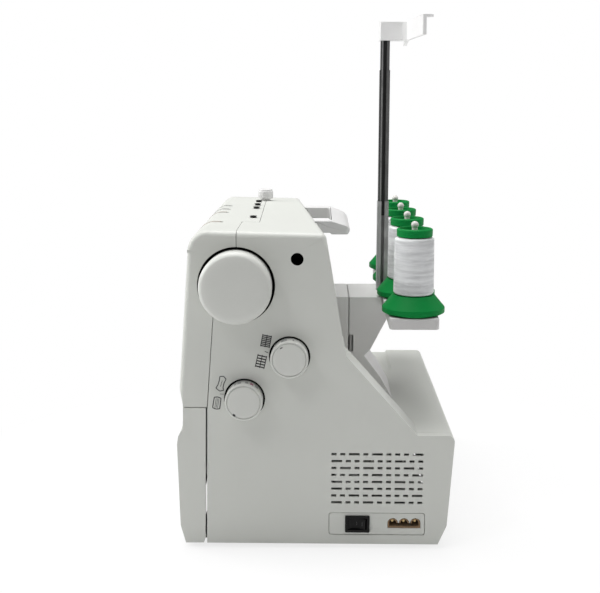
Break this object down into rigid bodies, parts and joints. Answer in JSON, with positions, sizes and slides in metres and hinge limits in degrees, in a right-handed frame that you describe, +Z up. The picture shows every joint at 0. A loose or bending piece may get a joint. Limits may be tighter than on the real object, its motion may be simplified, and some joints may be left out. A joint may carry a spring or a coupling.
{
  "type": "serger overlock machine",
  "caption": "Household overlock machine with side handwheel and setting knobs, hinged looper cover, and a rear stand with telescopic thread guide and thread spools.",
  "frame": {"origin": "centre of the base box, on the table that the rubber feet stand on", "axes": "+X to the operator's right, +Y to the back, +Z up"},
  "size_m": [0.34, 0.248, 0.474],
  "materials": {
    "cover_plastic": "moulded off-white plastic, fine satin texture",
    "base_plastic": "dark grey moulded plastic",
    "foot_rubber": "black rubber",
    "cast_alloy": "as-cast aluminium alloy",
    "plate_steel": "polished steel plate",
    "knife_steel": "ground tool steel",
    "lamp_lens": "frosted lamp lens",
    "motor_black": "black painted steel",
    "switch_black": "black gloss plastic",
    "inlet_brown": "brown phenolic plastic with metal pins",
    "port_black": "black grommet plastic",
    "stand_grey": "light grey moulded plastic",
    "stand_white": "white moulded plastic",
    "pole_metal": "grey folded sheet metal, satin",
    "bush_bronze": "sintered bronze",
    "belt_rubber": "black toothed belt",
    "screw_steel": "zinc plated steel",
    "spring_steel": "spring wire",
    "knob_white": "white satin plastic",
    "shaft_steel": "ground steel",
    "chrome_steel": "chromed steel",
    "lever_grey": "grey moulded lever",
    "spool_green": "green moulded plastic",
    "thread_white": "wound white polyester thread"
  },
  "bodies": {
    "machine": {"base_pan": "base_plastic", "rubber_feet": "foot_rubber", "frame": "cast_alloy", "main_cover": "cover_plastic", "front_cover": "cover_plastic", "face_cover": "cover_plastic", "left_cover": "cover_plastic", "rear_cover": "cover_plastic", "inner_panel": "cover_plastic", "needle_plate": "plate_steel", "lower_knife": "knife_steel", "lamp": "lamp_lens", "motor": "motor_black", "power_panel": "cover_plastic", "switch_housing": "switch_black", "inlet_socket": "inlet_brown", "carry_handle": "cover_plastic", "thread_ports": "port_black", "stand_arm": "stand_grey", "spool_tray": "stand_white", "spool_pins": "stand_white", "pole_outer": "pole_metal", "shaft_bushes": "bush_bronze", "drive_belt": "belt_rubber", "timing_belt": "belt_rubber", "cover_screws": "screw_steel", "presser_spring": "spring_steel"},
    "looper_door": {"looper_cover": "cover_plastic"},
    "main_drive": {"handwheel": "knob_white", "main_shaft": "shaft_steel"},
    "rod": {"connecting_rod": "shaft_steel"},
    "looper_drive": {"looper_shaft": "shaft_steel"},
    "motor_rotor": {"motor_pulley": "shaft_steel"},
    "stitch_knob": {"stitch_length_knob": "knob_white"},
    "diff_knob": {"diff_feed_knob": "knob_white"},
    "pressure_screw": {"pressure_knob": "knob_white"},
    "dial_1": {"tension_dial_1": "knob_white"},
    "dial_2": {"tension_dial_2": "knob_white"},
    "dial_3": {"tension_dial_3": "knob_white"},
    "dial_4": {"tension_dial_4": "knob_white"},
    "rocker": {"switch_rocker": "switch_black"},
    "presser": {"presser_bar": "chrome_steel", "presser_foot": "chrome_steel"},
    "lifter": {"presser_lever": "lever_grey"},
    "needles": {"needle_bar": "chrome_steel"},
    "looper_up": {"upper_looper": "chrome_steel"},
    "looper_low": {"lower_looper": "chrome_steel"},
    "knife": {"upper_knife": "knife_steel"},
    "feed": {"feed_dogs": "knife_steel"},
    "pole_mid": {"pole_middle": "pole_metal"},
    "pole_upper": {"pole_top": "pole_metal", "thread_guide": "stand_white"},
    "reel_1": {"spool_1": "spool_green", "thread_1": "thread_white"},
    "reel_2": {"spool_2": "spool_green", "thread_2": "thread_white"},
    "reel_3": {"spool_3": "spool_green", "thread_3": "thread_white"},
    "reel_4": {"spool_4": "spool_green", "thread_4": "thread_white"}
  },
  "joints": [
    {"name": "looper_cover_open", "type": "hinge", "parent": "machine", "child": "looper_door", "pos_m": [-0.01, -0.117, 0.012], "axis": [1, 0, 0], "range_deg": [0, 80]},
    {"name": "handwheel_spin", "type": "hinge", "parent": "machine", "child": "main_drive", "pos_m": [0.15, -0.0694, 0.242], "axis": [1, 0, 0], "continuous": true},
    {"name": "rod_swing", "type": "hinge", "parent": "main_drive", "child": "rod", "pos_m": [-0.123, -0.0694, 0.254], "axis": [1, 0, 0], "continuous": true},
    {"name": "looper_shaft_spin", "type": "hinge", "parent": "machine", "child": "looper_drive", "pos_m": [-0.01, -0.02, 0.095], "axis": [1, 0, 0], "continuous": true},
    {"name": "motor_spin", "type": "hinge", "parent": "machine", "child": "motor_rotor", "pos_m": [0.121, 0.028, 0.058], "axis": [1, 0, 0], "continuous": true},
    {"name": "stitch_length_turn", "type": "hinge", "parent": "machine", "child": "stitch_knob", "pos_m": [0.15, -0.023, 0.179], "axis": [1, 0, 0], "range_deg": [-120, 120]},
    {"name": "diff_feed_turn", "type": "hinge", "parent": "machine", "child": "diff_knob", "pos_m": [0.15, -0.063, 0.1405], "axis": [1, 0, 0], "range_deg": [-90, 90]},
    {"name": "pressure_knob_turn", "type": "hinge", "parent": "machine", "child": "pressure_screw", "pos_m": [-0.132, -0.058, 0.29], "axis": [0, 0, 1], "range_deg": [-360, 360]},
    {"name": "tension_dial_1_turn", "type": "hinge", "parent": "machine", "child": "dial_1", "pos_m": [-0.063, -0.10415, 0.236], "axis": [1, 0, 0], "range_deg": [-160, 160]},
    {"name": "tension_dial_2_turn", "type": "hinge", "parent": "machine", "child": "dial_2", "pos_m": [-0.029, -0.10415, 0.236], "axis": [1, 0, 0], "range_deg": [-160, 160]},
    {"name": "tension_dial_3_turn", "type": "hinge", "parent": "machine", "child": "dial_3", "pos_m": [0.001, -0.10415, 0.236], "axis": [1, 0, 0], "range_deg": [-160, 160]},
    {"name": "tension_dial_4_turn", "type": "hinge", "parent": "machine", "child": "dial_4", "pos_m": [0.082, -0.10415, 0.236], "axis": [1, 0, 0], "range_deg": [-160, 160]},
    {"name": "switch_rock", "type": "hinge", "parent": "machine", "child": "rocker", "pos_m": [0.1465, 0.03795, 0.02325], "axis": [0, 0, 1], "range_deg": [0, 14]},
    {"name": "presser_lever_lift", "type": "hinge", "parent": "machine", "child": "lifter", "pos_m": [-0.132, -0.03, 0.207], "axis": [0, 1, 0], "range_deg": [0, 80]},
    {"name": "presser_bar_lift", "type": "slide", "parent": "machine", "child": "presser", "axis": [0, 0, 1], "range_m": [0, 0.006], "deforming": ["presser_spring"]},
    {"name": "needle_bar_slide", "type": "slide", "parent": "machine", "child": "needles", "axis": [0, 0, 1], "range_m": [-0.024, 0]},
    {"name": "upper_looper_swing", "type": "hinge", "parent": "machine", "child": "looper_up", "pos_m": [-0.098, -0.08, 0.06], "axis": [0, 1, 0], "range_deg": [-6, 6]},
    {"name": "lower_looper_swing", "type": "hinge", "parent": "machine", "child": "looper_low", "pos_m": [-0.148, -0.06, 0.04], "axis": [0, 1, 0], "range_deg": [-8, 4]},
    {"name": "upper_knife_swing", "type": "hinge", "parent": "machine", "child": "knife", "pos_m": [-0.1227, -0.051, 0.107], "axis": [1, 0, 0], "range_deg": [-4, 3]},
    {"name": "feed_slide", "type": "slide", "parent": "machine", "child": "feed", "axis": [0, 1, 0], "range_m": [-0.002, 0.002]},
    {"name": "pole_middle_slide", "type": "slide", "parent": "machine", "child": "pole_mid", "axis": [0, 0, 1], "range_m": [-0.088, 0]},
    {"name": "pole_top_slide", "type": "slide", "parent": "pole_mid", "child": "pole_upper", "axis": [0, 0, 1], "range_m": [-0.025, 0]},
    {"name": "spool_1_spin", "type": "hinge", "parent": "machine", "child": "reel_1", "pos_m": [-0.13375, 0.0877, 0.25], "axis": [0, 0, 1], "continuous": true},
    {"name": "spool_2_spin", "type": "hinge", "parent": "machine", "child": "reel_2", "pos_m": [-0.05125, 0.0877, 0.25], "axis": [0, 0, 1], "continuous": true},
    {"name": "spool_3_spin", "type": "hinge", "parent": "machine", "child": "reel_3", "pos_m": [0.03125, 0.0877, 0.25], "axis": [0, 0, 1], "continuous": true},
    {"name": "spool_4_spin", "type": "hinge", "parent": "machine", "child": "reel_4", "pos_m": [0.11375, 0.0877, 0.25], "axis": [0, 0, 1], "continuous": true}
  ],
  "couplings": [
    {"joint": "rod_swing", "follows": "handwheel_spin", "ratio": -1},
    {"joint": "looper_shaft_spin", "follows": "handwheel_spin", "ratio": 1},
    {"joint": "motor_spin", "follows": "handwheel_spin", "ratio": 3.5},
    {"joint": "presser_lever_lift", "follows": "presser_bar_lift", "rad_per_m": 232.7}
  ]
}
